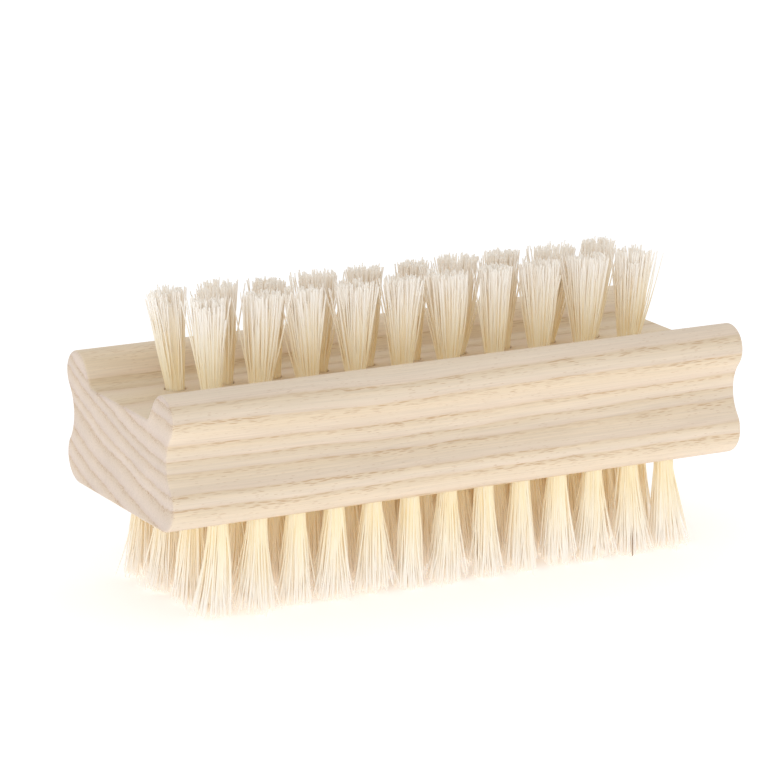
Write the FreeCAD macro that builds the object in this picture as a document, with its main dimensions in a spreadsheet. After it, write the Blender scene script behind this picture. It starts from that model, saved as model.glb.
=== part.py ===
import FreeCAD, Part
import math
import os

import Sketcher

# Double-sided nail brush: a moulded wooden block with bristle tufts in drilled holes on both faces.
# Millimetres. X runs along the rows of tufts, +Z is up, and the origin lies midway along and across
# the brush on the plane of the lower bristle tips, on which the brush stands.

# Driving sizes: alias, value, meaning.
SIZES = [
    ("block_length", 95, "length of the wooden block"),
    ("block_width", 36, "width over the finger ridges"),
    ("block_height", 20, "thickness of the planed stock"),
    ("edge_radius", 4, "round on the lower long edges"),
    ("bead_radius", 3.5, "round of the two upper rails"),
    ("groove_radius", 6, "hollow of the finger grooves"),
    ("channel_depth", 4.5, "drop from the rails to the channel floor"),
    ("channel_wall_slope", 57, "slope of the channel walls, degrees from level"),
    ("channel_foot_radius", 0.8, "hollow where wall and channel floor meet"),
    ("end_chamfer", 0.5, "sanded edge round both end faces"),
    ("hole_diameter", 3.2, "drilled tuft holes, over their corners"),
    ("hole_depth", 6.5, "drilled tuft holes"),
    ("lower_columns", 13, "tufts in each lower row"),
    ("lower_rows", 4, "rows of lower tufts"),
    ("lower_end_margin", 10, "block end to the first lower tuft"),
    ("lower_side_margin", 6, "block side to the outer lower rows"),
    ("lower_bristle_length", 14.5, "bristle below the block"),
    ("lower_tuft_gap", 0.45, "gap between the tips of lower tufts"),
    ("upper_columns", 10, "tufts in each upper row"),
    ("upper_left_margin", 11, "left block end to the first back tuft"),
    ("upper_right_margin", 11.8, "last front tuft to the right block end"),
    ("upper_stagger", 2, "shift of the front row to the right"),
    ("upper_row_spacing", 8, "distance between the two upper rows"),
    ("upper_bristle_length", 15, "bristle above the channel floor"),
    ("upper_tuft_gap", 1.75, "gap between the tips of upper tufts"),
    ("end_splay", 1, "outward lean of the end tufts at their tips"),
    ("tuft_clearance", 0.1, "tuft root to the wall and floor of its hole"),
    ("anchor_thickness", 0.4, "flat wire that holds a folded tuft"),
    ("anchor_width", 1.6, "flat wire, measured along the hole"),
    ("anchor_bite", 0.3, "reach of each anchor end into the wood"),
    ("fold_thickness", 0.8, "bristle folded under the anchor"),
]

# Tufts and their holes are drawn with this many sides, to keep what repeats light. Ten sides put a flat,
# not a corner, at each end of an anchor.
TUFT_SIDES = 10

# A bundle flares slowly at first: halfway up it has spread and leant by this share of the whole.
HALFWAY_SHARE = 0.35

# Sizes that follow from the driving ones: alias, formula.
LAYOUT = [
    ("floor_height", "Sizes.block_height - Sizes.channel_depth"),
    ("lower_span", "Sizes.block_length - 2 * Sizes.lower_end_margin"),
    ("lower_pitch", "lower_span / (Sizes.lower_columns - 1)"),
    ("lower_reach", "Sizes.block_width - 2 * Sizes.lower_side_margin"),
    ("lower_row_pitch", "lower_reach / (Sizes.lower_rows - 1)"),
    ("upper_margins", "Sizes.upper_left_margin + Sizes.upper_right_margin"),
    ("upper_span", "Sizes.block_length - upper_margins - Sizes.upper_stagger"),
    ("upper_pitch", "upper_span / (Sizes.upper_columns - 1)"),
    ("root_radius", "Sizes.hole_diameter / 2 - Sizes.tuft_clearance"),
    ("root_depth", "Sizes.hole_depth - Sizes.tuft_clearance"),
    ("lower_tip_radius", "(lower_pitch - Sizes.lower_tuft_gap) / 2"),
    ("upper_tip_radius", "(upper_pitch - Sizes.upper_tuft_gap) / 2"),
    ("hole_flat", f"Sizes.hole_diameter / 2 * cos(180 deg / {TUFT_SIDES})"),
    ("anchor_length", "2 * (hole_flat + Sizes.anchor_bite)"),
    ("anchor_bottom", "root_depth - Sizes.fold_thickness"),
]

# The two upper rows: where the first tuft stands along X, and the row's place across Y.
BACK_START = "Sizes.upper_left_margin - Sizes.block_length / 2"
UPPER_ROWS = {
    "back": (BACK_START, "Sizes.upper_row_spacing / 2"),
    "front": (f"{BACK_START} + Sizes.upper_stagger", "-Sizes.upper_row_spacing / 2"),
}

# Share by which the wood drilled out may differ from its formula.
VOLUME_SLACK = 0.001

UPRIGHT = FreeCAD.Rotation()
HANGING = FreeCAD.Rotation(FreeCAD.Vector(1, 0, 0), 180)

document = FreeCAD.newDocument("nail_brush")


def fill_sheet(name, rows, as_formula):
    """One spreadsheet with an alias, a value or formula, and any remark on each row."""
    sheet = document.addObject("Spreadsheet::Sheet", name)
    for number, (alias, content, *remark) in enumerate(rows, start=1):
        sheet.set(f"A{number}", alias)
        sheet.set(f"B{number}", f"={content}" if as_formula else str(content))
        sheet.setAlias(f"B{number}", alias)
        sheet.set(f"C{number}", " ".join(remark))
    document.recompute()
    return sheet


sizes = fill_sheet("Sizes", SIZES, as_formula=False)
layout = fill_sheet("Layout", LAYOUT, as_formula=True)


def bind(thing, **expressions):
    """Tie properties to the sheets. A double underscore in a keyword stands for a dot."""
    for path, expression in expressions.items():
        thing.setExpression(path.replace("__", "."), expression)


def origin_feature(body, role):
    """The body's own origin plane or axis with this role."""
    return next(feature for feature in body.Origin.OriginFeatures if feature.Role == role)


def groove_centre(edge_centre, bead_centre):
    """Centre of the finger groove, which touches the lower edge round and the rail from outside."""
    to_edge = sizes.groove_radius + sizes.edge_radius
    to_bead = sizes.groove_radius + sizes.bead_radius
    apart = (bead_centre - edge_centre).Length
    upward = (bead_centre - edge_centre) / apart
    outward = FreeCAD.Vector(upward.y, -upward.x, 0)
    along = (to_edge**2 - to_bead**2 + apart**2) / (2 * apart)
    return edge_centre + upward * along + outward * math.sqrt(to_edge**2 - along**2)


def heading(start, end):
    """Angle of the line from start to end."""
    return math.atan2(end.y - start.y, end.x - start.x)


def arc(centre, radius, first, last):
    """Arc that runs anticlockwise between two angles."""
    return Part.ArcOfCircle(Part.Circle(centre, FreeCAD.Vector(0, 0, 1), radius), first, last)


def profile_geometry():
    """Right half of the block's section: base, edge round, groove, rail, wall, foot, floor and middle."""
    point = FreeCAD.Vector
    half_width = sizes.block_width / 2
    slope = math.radians(sizes.channel_wall_slope)
    floor = layout.floor_height
    foot = sizes.channel_foot_radius
    edge_centre = point(half_width - sizes.edge_radius, sizes.edge_radius)
    bead_centre = point(half_width - sizes.bead_radius, sizes.block_height - sizes.bead_radius)
    groove = groove_centre(edge_centre, bead_centre)
    inward = point(-math.sin(slope), math.cos(slope))
    wall_top = bead_centre + inward * sizes.bead_radius
    wall_line_at_foot = wall_top + inward * foot
    drop = (wall_line_at_foot.y - floor - foot) / math.tan(slope)
    foot_centre = point(wall_line_at_foot.x - drop, floor + foot)
    wall_bottom = foot_centre - inward * foot
    floor_end = point(foot_centre.x, floor)
    quarter = math.pi / 2
    groove_end = heading(groove, edge_centre) + 2 * math.pi
    return [
        Part.LineSegment(point(0, 0), point(edge_centre.x, 0)),
        arc(edge_centre, sizes.edge_radius, -quarter, heading(edge_centre, groove)),
        arc(groove, sizes.groove_radius, heading(groove, bead_centre), groove_end),
        arc(bead_centre, sizes.bead_radius, heading(bead_centre, groove), quarter + slope),
        Part.LineSegment(wall_bottom, wall_top),
        arc(foot_centre, foot, -quarter, slope - quarter),
        Part.LineSegment(floor_end, point(0, floor)),
        Part.LineSegment(point(0, floor), point(0, 0)),
    ]


def draw_profile(sketch):
    """Half section with every run tangent to the next, held by radii, heights and the wall's slope."""
    base, edge, groove, bead, wall, foot, floor, middle = sketch.addGeometry(profile_geometry(), False)
    start, end, centre = 1, 2, 3
    origin = (-1, 1)
    rule = Sketcher.Constraint
    sketch.addConstraint([
        rule("Coincident", base, start, *origin),
        rule("Horizontal", base),
        rule("Tangent", base, end, edge, start),
        rule("Tangent", edge, end, groove, end),
        rule("Tangent", groove, start, bead, start),
        rule("Tangent", bead, end, wall, end),
        rule("Tangent", wall, start, foot, end),
        rule("Tangent", foot, start, floor, start),
        rule("Horizontal", floor),
        rule("Coincident", floor, end, middle, start),
        rule("Vertical", middle),
        rule("Coincident", middle, end, base, start),
    ])
    half_width = "Sizes.block_width / 2"
    driven = [
        ("Radius", (edge,), "Sizes.edge_radius"),
        ("Radius", (groove,), "Sizes.groove_radius"),
        ("Radius", (bead,), "Sizes.bead_radius"),
        ("Radius", (foot,), "Sizes.channel_foot_radius"),
        ("DistanceX", (*origin, edge, centre), f"{half_width} - Sizes.edge_radius"),
        ("DistanceX", (*origin, bead, centre), f"{half_width} - Sizes.bead_radius"),
        ("DistanceY", (*origin, bead, centre), "Sizes.block_height - Sizes.bead_radius"),
        ("DistanceY", (middle, end, middle, start), "Layout.floor_height"),
    ]
    for kind, place, expression in driven:
        number = sketch.addConstraint(rule(kind, *place, sketch.evalExpression(expression)))
        sketch.setExpression(f"Constraints[{number}]", expression)
    number = sketch.addConstraint(rule("Angle", wall, math.radians(sizes.channel_wall_slope)))
    sketch.setExpression(f"Constraints[{number}]", "Sizes.channel_wall_slope * 1 deg")


def sketch_on(body, name, role):
    """Empty sketch on one of the body's own origin planes."""
    sketch = body.newObject("Sketcher::SketchObject", name)
    sketch.AttachmentSupport = [(origin_feature(body, role), "")]
    sketch.MapMode = "FlatFace"
    return sketch


def end_edges(shape):
    """Names of the edges that lie in the two end faces."""
    reach = sizes.block_length / 2
    names = []
    for number, edge in enumerate(shape.Edges, start=1):
        box = edge.BoundBox
        if box.XLength < 1e-6 and abs(abs(box.XMin) - reach) < 1e-6:
            names.append(f"Edge{number}")
    return names


def cut_tool(body, kind, name, along, across, bottom):
    """Prism or box taken out of the block, with its reference corner or axis at (along, across, bottom)."""
    tool = body.newObject(f"PartDesign::Subtractive{kind}", name)
    tool.AttachmentSupport = [(origin_feature(body, "XY_Plane"), "")]
    tool.MapMode = "FlatFace"
    tool.Refine = False
    for axis, place in zip("xyz", (along, across, bottom)):
        tool.setExpression(f"AttachmentOffset.Base.{axis}", place)
    return tool


def repeat(body, feature, span, columns, reach, rows):
    """Copies of a cut in a field along X and Y, or in one row where rows is 1."""
    pattern = body.newObject("PartDesign::LinearPattern", f"{feature.Name}_pattern")
    pattern.Originals = [feature]
    pattern.Direction = (origin_feature(body, "X_Axis"), [""])
    pattern.Direction2 = (origin_feature(body, "Y_Axis"), [""])
    pattern.Mode = "Extent"
    pattern.Mode2 = "Extent"
    bind(pattern, Length=span, Occurrences=columns, Length2=reach, Occurrences2=rows)
    pattern.Refine = False
    body.Tip = pattern
    document.recompute()


def drill(body, name, along, across, hole_bottom, anchor_bottom, **field):
    """A field of blind tuft holes, and the two notches that each anchor cuts in the wood."""
    hole = cut_tool(body, "Prism", f"{name}_hole", along, across, hole_bottom)
    hole.Polygon = TUFT_SIDES
    bind(hole, Circumradius="Sizes.hole_diameter / 2", Height="Sizes.hole_depth")
    repeat(body, hole, **field)
    notch = cut_tool(body, "Box", f"{name}_notch", f"{along} - Sizes.anchor_thickness / 2",
                     f"{across} - Layout.anchor_length / 2", anchor_bottom)
    bind(notch, Length="Sizes.anchor_thickness", Width="Layout.anchor_length", Height="Sizes.anchor_width")
    repeat(body, notch, **field)


def drilled_volume():
    """Wood that the holes and the notches beyond their flats take out."""
    holes = sizes.lower_columns * sizes.lower_rows + sizes.upper_columns * len(UPPER_ROWS)
    hole_area = TUFT_SIDES / 2 * (sizes.hole_diameter / 2) ** 2 * math.sin(2 * math.pi / TUFT_SIDES)
    notches = 2 * sizes.anchor_bite * sizes.anchor_thickness * sizes.anchor_width
    return holes * (hole_area * sizes.hole_depth + notches)


def make_block():
    """Moulded wooden block with finger grooves, a channel between two rails, and the tuft holes."""
    body = document.addObject("PartDesign::Body", "handle_block")
    bind(body, Placement__Base__z="Sizes.lower_bristle_length")

    profile = sketch_on(body, "half_section", "YZ_Plane")
    draw_profile(profile)
    half = body.newObject("PartDesign::Pad", "half_block")
    half.Profile = profile
    half.SideType = "Symmetric"
    bind(half, Length="Sizes.block_length")
    document.recompute()

    whole = body.newObject("PartDesign::Mirrored", "whole_block")
    whole.Originals = [half]
    whole.MirrorPlane = (origin_feature(body, "XZ_Plane"), [""])
    body.Tip = whole
    document.recompute()

    sanded = body.newObject("PartDesign::Chamfer", "sanded_ends")
    sanded.Base = (whole, end_edges(whole.Shape))
    bind(sanded, Size="Sizes.end_chamfer")
    document.recompute()
    undrilled = sanded.Shape.Volume

    hole_bottom = "Layout.floor_height - Sizes.hole_depth"
    anchor_bottom = "Layout.floor_height - Layout.anchor_bottom"
    for side, (start, across) in UPPER_ROWS.items():
        drill(body, side, start, across, hole_bottom, anchor_bottom,
              span="Layout.upper_span", columns="Sizes.upper_columns", reach="0", rows="1")
    anchor_bottom = "Layout.anchor_bottom - Sizes.anchor_width"
    drill(body, "lower", "-Layout.lower_span / 2", "-Layout.lower_reach / 2", "0", anchor_bottom,
          span="Layout.lower_span", columns="Sizes.lower_columns",
          reach="Layout.lower_reach", rows="Sizes.lower_rows")

    if abs(undrilled - body.Tip.Shape.Volume - drilled_volume()) > VOLUME_SLACK * drilled_volume():
        raise RuntimeError("the tuft holes don't take out what they should")
    return body


def section(name, radius, height, lean="0"):
    """Outline of the bundle at one height, with its centre moved along X by the lean."""
    outline = document.addObject("Part::RegularPolygon", name)
    outline.Polygon = TUFT_SIDES
    bind(outline, Circumradius=radius, Placement__Base__x=lean, Placement__Base__z=height)
    return outline


def flat_bar(name, length, along, across, bottom):
    """Flat wire that lies along Y and stands on edge, centred over (along, across)."""
    bar = document.addObject("Part::Box", name)
    bind(bar, Length="Sizes.anchor_thickness", Width=length, Height="Sizes.anchor_width")
    bind(bar, Placement__Base__x=f"{along} - Sizes.anchor_thickness / 2")
    bind(bar, Placement__Base__y=f"{across} - {length} / 2")
    bind(bar, Placement__Base__z=bottom)
    return bar


def make_tuft(name, face, share, turn, place):
    """Bundle of bristles folded under its anchor: a straight root in the hole, flaring to a trimmed tip.

    In the tuft's own frame the mouth of the hole is at the origin and +Z points out of the block.
    share runs from about -1 at one end of the row to about 1 at the other, and its cube sets the outward lean.
    place is where the mouth of the hole lies, as three expressions.
    """
    root = "Layout.root_radius"
    tip = f"Layout.{face}_tip_radius"
    length = f"Sizes.{face}_bristle_length"
    lean = f"Sizes.end_splay * ({share})^3"
    halfway = f"{root} + {HALFWAY_SHARE} * ({tip} - {root})"
    bundle = document.addObject("Part::Loft", f"{name}_bundle")
    bundle.Sections = [
        section(f"{name}_fold", root, "-Layout.root_depth"),
        section(f"{name}_mouth", root, "0"),
        section(f"{name}_halfway", halfway, f"{length} / 2", f"{HALFWAY_SHARE} * {lean}"),
        section(f"{name}_tip", tip, length, lean),
    ]
    bundle.Solid = True
    bundle.Ruled = True
    bundle.Linearize = True
    tuft = document.addObject("Part::Cut", name)
    tuft.Base = bundle
    tuft.Tool = flat_bar(f"{name}_eye", "Sizes.hole_diameter", "0", "0", "-Layout.anchor_bottom")
    tuft.Placement = FreeCAD.Placement(FreeCAD.Vector(), turn)
    along, across, height = place
    bind(tuft, Placement__Base__x=along, Placement__Base__y=across, Placement__Base__z=height)
    return tuft


def group(name, members):
    """Separate solids that share one node."""
    compound = document.addObject("Part::Compound", name)
    compound.Links = members
    return compound


def upper_row(side, columns):
    """One upper row: each tuft is a sub-part of its own, and the row's anchors share one."""
    first, across = UPPER_ROWS[side]
    mouth = "Sizes.lower_bristle_length + Layout.floor_height"
    tufts = []
    anchors = []
    for column in range(columns):
        along = f"{first} + {column} * Layout.upper_pitch"
        share = f"2 * ({along}) / Layout.upper_span"
        number = f"{column + 1:02d}"
        place = (along, across, mouth)
        tufts.append(make_tuft(f"upper_{side}_tuft_{number}", "upper", share, UPRIGHT, place))
        anchors.append(flat_bar(f"upper_{side}_anchor_{number}", "Layout.anchor_length",
                                along, across, f"{mouth} - Layout.anchor_bottom"))
    return tufts + [group(f"upper_{side}_anchors", anchors)]


def lower_place(column, row):
    """Mouth of one lower hole, as three expressions."""
    along = f"{column} * Layout.lower_pitch - Layout.lower_span / 2"
    across = f"{row} * Layout.lower_row_pitch - Layout.lower_reach / 2"
    return along, across, "Sizes.lower_bristle_length"


def lower_column(column, rows):
    """The lower tufts that stand abreast in one column, as one sub-part of separate solids."""
    tufts = []
    for row in range(rows):
        place = lower_place(column, row)
        share = f"2 * ({place[0]}) / Layout.lower_span"
        tufts.append(make_tuft(f"lower_tuft_{column + 1:02d}_{row + 1}", "lower", share, HANGING, place))
    return group(f"lower_tufts_{column + 1:02d}", tufts)


def lower_anchor_row(row, columns):
    """The anchors of one lower row, as one sub-part of separate solids."""
    anchors = []
    for column in range(columns):
        along, across, mouth = lower_place(column, row)
        bottom = f"{mouth} + Layout.anchor_bottom - Sizes.anchor_width"
        anchors.append(flat_bar(f"lower_anchor_{column + 1:02d}_{row + 1}", "Layout.anchor_length",
                                along, across, bottom))
    return group(f"lower_anchors_{row + 1}", anchors)


def make_brush():
    """Every sub-part of the brush, in the order block, upper rows, lower columns, lower anchors."""
    columns = int(sizes.lower_columns)
    rows = int(sizes.lower_rows)
    upper_columns = int(sizes.upper_columns)
    nodes = [make_block()]
    for side in UPPER_ROWS:
        nodes += upper_row(side, upper_columns)
    nodes += [lower_column(column, rows) for column in range(columns)]
    nodes += [lower_anchor_row(row, columns) for row in range(rows)]
    document.recompute()
    return nodes


def check(nodes):
    """Stop if any object failed to build or any sub-part has no sound solid."""
    for thing in document.Objects:
        if "Invalid" in thing.State or "Error" in thing.State:
            raise RuntimeError(f"{thing.Label} failed to build")
    for node in nodes:
        if node.Shape.isNull() or not node.Shape.isValid() or not node.Shape.Solids:
            raise RuntimeError(f"{node.Label} has no sound solid")


brush = make_brush()
check(brush)
os.makedirs("parts", exist_ok=True)
for node in brush:
    node.Shape.exportStep(f"parts/{node.Label}.step")
    print(f"{node.Label}: {len(node.Shape.Solids)} solids, {node.Shape.Volume:.1f} cubic mm")
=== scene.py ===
# %% [markdown]
# # A wooden nail brush with bristles on both faces
# The brush is a moulded block of pale ash with finger grooves along its sides. Two staggered rows of
# small tufts stand in a channel on top, and four rows of tufts hang below for scrubbing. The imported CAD
# model gives every size and place. Here the block gets its finish, and each plain tuft solid gives way
# to a bundle of single bristles.

import math

import bpy
import numpy as np
from mathutils import Matrix, Vector


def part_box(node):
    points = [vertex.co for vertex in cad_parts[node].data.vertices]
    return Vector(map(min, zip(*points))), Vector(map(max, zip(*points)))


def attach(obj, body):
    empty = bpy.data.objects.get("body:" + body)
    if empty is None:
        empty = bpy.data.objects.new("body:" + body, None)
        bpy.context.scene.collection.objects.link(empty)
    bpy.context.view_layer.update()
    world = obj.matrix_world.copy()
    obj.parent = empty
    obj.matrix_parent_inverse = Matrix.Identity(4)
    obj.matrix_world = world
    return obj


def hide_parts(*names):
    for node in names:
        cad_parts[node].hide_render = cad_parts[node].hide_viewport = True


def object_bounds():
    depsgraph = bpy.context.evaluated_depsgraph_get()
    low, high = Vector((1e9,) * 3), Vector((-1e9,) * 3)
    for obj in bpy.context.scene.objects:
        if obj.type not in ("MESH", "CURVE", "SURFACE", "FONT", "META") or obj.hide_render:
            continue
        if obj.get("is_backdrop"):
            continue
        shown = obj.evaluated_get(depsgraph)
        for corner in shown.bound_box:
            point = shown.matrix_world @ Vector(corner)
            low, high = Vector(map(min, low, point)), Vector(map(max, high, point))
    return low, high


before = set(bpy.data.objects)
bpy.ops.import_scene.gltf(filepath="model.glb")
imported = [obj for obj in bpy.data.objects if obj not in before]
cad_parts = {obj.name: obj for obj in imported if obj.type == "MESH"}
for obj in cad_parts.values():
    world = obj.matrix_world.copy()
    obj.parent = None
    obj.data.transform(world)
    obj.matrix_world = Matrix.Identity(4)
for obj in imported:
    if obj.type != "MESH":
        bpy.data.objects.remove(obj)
cad_low, cad_high = (np.array(corner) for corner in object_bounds())
MM = 0.001
BODY = "root"
print("CAD box in mm:", (cad_low / MM).round(2), (cad_high / MM).round(2))

# %% [markdown]
# ## Reading the tufts from the frame
# A tuft solid is a loft through four sections: the fold at the bottom of its hole, the mouth of the
# hole, a section halfway, and the tip. Its vertices lie at those heights, so the centre and radius of
# each section can be read from the mesh with numpy. That is safer than writing the places of 72 tufts
# down again.

# %% Measure every tuft
NODE_NAMES = sorted(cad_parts)
LOWER_ROWS = [name for name in NODE_NAMES if name.startswith("lower_anchors_")]
UPPER_TUFTS = [name for name in NODE_NAMES if name.startswith("upper_") and "_tuft_" in name]
LOWER_TUFTS = [name for name in NODE_NAMES if name.startswith("lower_tufts_")]
SAME_HEIGHT = 2e-6


def node_points(node):
    """All vertices of a CAD node, as an array with one row per vertex, in metres."""
    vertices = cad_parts[node].data.vertices
    flat = np.empty(3 * len(vertices), np.float32)
    vertices.foreach_get("co", flat)
    return flat.reshape(-1, 3).astype(float)


def middle(points):
    """The middle of the box round some points."""
    return (points.min(0) + points.max(0)) / 2


def measure_tuft(points, rises):
    """Centres of the fold, mouth and tip of one tuft solid, and its radii at the mouth and the tip.

    The heights at which vertices lie are sorted from the tip along the tuft: tip, halfway, mouth, and
    last the fold.
    """
    heights = np.unique(points[:, 2].round(6))
    if rises:
        heights = heights[::-1]
    levels = [np.isclose(points[:, 2], heights[step], atol=SAME_HEIGHT) for step in (0, 2, -1)]
    tip, mouth, fold = (points[level] for level in levels)
    return {
        "fold": middle(fold),
        "mouth": middle(mouth),
        "tip": middle(tip),
        "mouth_radius": np.ptp(mouth[:, 1]) / 2,
        "tip_radius": np.ptp(tip[:, 1]) / 2,
    }


def tufts_of(node):
    """The measures of every tuft in a node: one in an upper node, one for each row in a lower node."""
    points = node_points(node)
    if node in UPPER_TUFTS:
        return [measure_tuft(points, rises=True)]
    row_places = [middle(node_points(row))[1] for row in LOWER_ROWS]
    half_gap = np.min(np.diff(sorted(row_places))) / 2
    in_row = [np.abs(points[:, 1] - place) < half_gap for place in row_places]
    return [measure_tuft(points[chosen], rises=False) for chosen in in_row]


tufts = {node: tufts_of(node) for node in UPPER_TUFTS + LOWER_TUFTS}
all_tufts = [tuft for found in tufts.values() for tuft in found]
print("tufts measured:", len(all_tufts))
for label in ("mouth_radius", "tip_radius"):
    first_and_last = [round(all_tufts[place][label] / MM, 2) for place in (0, -1)]
    print(label, "of the first and last tuft in mm:", first_and_last)

# %% [markdown]
# ## Putting arrays into a mesh
# Every new piece is a surface worked out as whole arrays: points in one array, faces as rows of point
# numbers in others. One helper hands them to Blender with foreach_set, which copies an array in one
# step. Another makes the piece ride on its body and hides the CAD nodes that it stands for.

# %% From arrays to a piece


def fill_mesh(name, points, faces, smooth=True):
    """A mesh from an array of points and a list of arrays of faces, each array with faces of one size."""
    mesh = bpy.data.meshes.new(name)
    corners = np.concatenate([group.ravel() for group in faces])
    sizes = np.concatenate([np.full(len(group), group.shape[1]) for group in faces])
    starts = np.concatenate([[0], np.cumsum(sizes)[:-1]])
    mesh.vertices.add(len(points))
    mesh.vertices.foreach_set("co", points.astype(np.float32).ravel())
    mesh.loops.add(len(corners))
    mesh.polygons.add(len(sizes))
    mesh.polygons.foreach_set("loop_start", starts.astype(np.int32))
    mesh.polygons.foreach_set("vertices", corners.astype(np.int32))
    mesh.polygons.foreach_set("use_smooth", np.full(len(sizes), smooth))
    mesh.update(calc_edges=True)
    return mesh


def add_object(name, data):
    """An object for a mesh, a lamp or a camera, at the origin."""
    made = bpy.data.objects.new(name, data)
    bpy.context.scene.collection.objects.link(made)
    return made


def seat(piece, slot, *nodes):
    """The piece rides on the brush and stands for CAD nodes, which it hides. The slot is not used."""
    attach(piece, BODY)
    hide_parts(*nodes)
    return piece


# %% [markdown]
# ## The moulded block
# On the real brush a spindle moulder runs the whole section along a stick of ash: a round lower edge, a
# hollow for the fingers, a bead that forms the rail, and a sloping wall down to the channel. Every
# curve flows into the next. A carved mesh would only come near to that, so the section is built from
# tangent arcs, and each point keeps its outward direction. The direction is what lets the same section
# shrink evenly at the sanded ends.

# %% Arcs that touch
EDGE_ROUND = 4.0 * MM
FINGER_HOLLOW = 6.0 * MM
RAIL_BEAD = 3.5 * MM
WALL_SLOPE = math.radians(57)
WALL_FOOT = 0.8 * MM
ARC_STEP = math.radians(4)

block_low, block_high = (np.array(corner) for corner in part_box("handle_block"))
block_bottom = block_low[2]
channel_floor = all_tufts[0]["mouth"][2]
half_width = block_high[1]
half_length = block_high[0]


def towards(angle):
    """The unit vector at an angle, in the plane of the section."""
    return np.stack([np.cos(angle), np.sin(angle)], -1)


def angle_of(vector):
    """The angle of a vector in the plane of the section."""
    return math.atan2(vector[1], vector[0])


def hollow_centre(lower, upper, to_lower, to_upper):
    """Where two circles cross on the outer side, one of radius to_lower about the lower centre and one of
    radius to_upper about the upper centre."""
    between = upper - lower
    distance = np.linalg.norm(between)
    along = (distance**2 + to_lower**2 - to_upper**2) / (2 * distance)
    across = math.sqrt(to_lower**2 - along**2)
    unit = between / distance
    return lower + along * unit + across * np.array([unit[1], -unit[0]])


def arc(centre, radius, start, end, outwards=1):
    """Points on an arc at even angles, and their outward directions: to its centre, in a hollow."""
    steps = max(2, round(abs(end - start) / ARC_STEP))
    spokes = towards(np.linspace(start, end, steps + 1))
    return centre + radius * spokes, outwards * spokes


print("block in mm:", ((block_high - block_low) / MM).round(2))
print("height of the channel floor in mm:", round(channel_floor / MM, 2))

# %% [markdown]
# ## The whole section
# Half of the section goes from the middle of the underside, out and up over the arcs, to the middle of
# the channel floor. The other half is its mirror image. Joined into one ring, they have no seam.

# %% The section of the block
FLAT_POINTS = 4
FLAT_REACH = 0.99
SAME_POINT = 1e-7


def half_section():
    """Points and outward directions of the right half of the section, as (across, up) pairs.

    They follow the underside, the four arcs in order, and the channel floor.
    """
    edge = np.array([half_width - EDGE_ROUND, block_bottom + EDGE_ROUND])
    bead = np.array([half_width - RAIL_BEAD, block_high[2] - RAIL_BEAD])
    hollow = hollow_centre(edge, bead, EDGE_ROUND + FINGER_HOLLOW, RAIL_BEAD + FINGER_HOLLOW)
    wall_faces = WALL_SLOPE + math.pi / 2
    wall_top = bead + RAIL_BEAD * towards(wall_faces)
    foot_height = channel_floor + WALL_FOOT
    drop = (foot_height - wall_top[1]) * math.sin(wall_faces)
    foot = np.array([wall_top[0] + (WALL_FOOT - drop) / math.cos(wall_faces), foot_height])
    hollow_start = angle_of(edge - hollow) + 2 * math.pi
    arcs = [
        arc(edge, EDGE_ROUND, -math.pi / 2, angle_of(hollow - edge)),
        arc(hollow, FINGER_HOLLOW, hollow_start, angle_of(bead - hollow), outwards=-1),
        arc(bead, RAIL_BEAD, angle_of(hollow - bead), wall_faces),
        arc(foot, WALL_FOOT, WALL_SLOPE - math.pi / 2, -math.pi / 2, outwards=-1),
    ]
    flats = np.linspace(0, FLAT_REACH, FLAT_POINTS)[:, None] * np.array([1, 0])
    underside = flats * edge[0] + [0, block_bottom]
    floor = flats[::-1] * foot[0] + [0, channel_floor]
    down, upward = (np.tile([0, way], (FLAT_POINTS, 1)) for way in (-1, 1))
    points = [underside] + [points for points, directions in arcs] + [floor]
    directions = [down] + [directions for points, directions in arcs] + [upward]
    return np.concatenate(points), np.concatenate(directions)


def whole_section():
    """The closed section: the right half, then its mirror image on the way back, with no point twice."""
    points, directions = half_section()
    keep = np.append(True, np.linalg.norm(np.diff(points, axis=0), axis=1) > SAME_POINT)
    points, directions = points[keep], directions[keep]
    mirror = np.array([-1, 1])
    return (
        np.concatenate([points, (points * mirror)[-2:0:-1]]),
        np.concatenate([directions, (directions * mirror)[-2:0:-1]]),
    )


section, section_out = whole_section()
print("points in the section:", len(section))
print("width and height of the section in mm:", (np.ptp(section, axis=0) / MM).round(2))

# %% [markdown]
# ## Carrying the section along the block
# The block is a surface of two parameters: the place on the section and the place along the length.
# Near each end the section draws in by a quarter circle, as sandpaper leaves it, and a flat face closes
# it. One more ring lies just inside each flat face, so that the light doesn't smear from the rounded
# edge over the face.

# %% Sweep the block
SANDED_EDGE = 0.5 * MM
FACE_RIM = 0.08 * MM
EDGE_STEPS = 6
LENGTH_STEPS = 24


def block_stations():
    """Places along the length and how far the section draws in there.

    In the rounded stretch at an end, with a turn from 0 to 90 degrees, the place moves by the sine of the
    turn times the edge's radius, and the section draws in by one minus the cosine times that radius.
    """
    turn = np.linspace(0, math.pi / 2, EDGE_STEPS + 1)
    straight = half_length - SANDED_EDGE
    end_places = straight + SANDED_EDGE * np.sin(turn)
    end_inset = SANDED_EDGE * (1 - np.cos(turn))
    end_places = np.append(end_places, half_length)
    end_inset = np.append(end_inset, SANDED_EDGE + FACE_RIM)
    run = np.linspace(-straight, straight, LENGTH_STEPS + 1)[1:-1]
    places = np.concatenate([-end_places[::-1], run, end_places])
    inset = np.concatenate([end_inset[::-1], np.zeros(len(run)), end_inset])
    return places, inset


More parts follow.
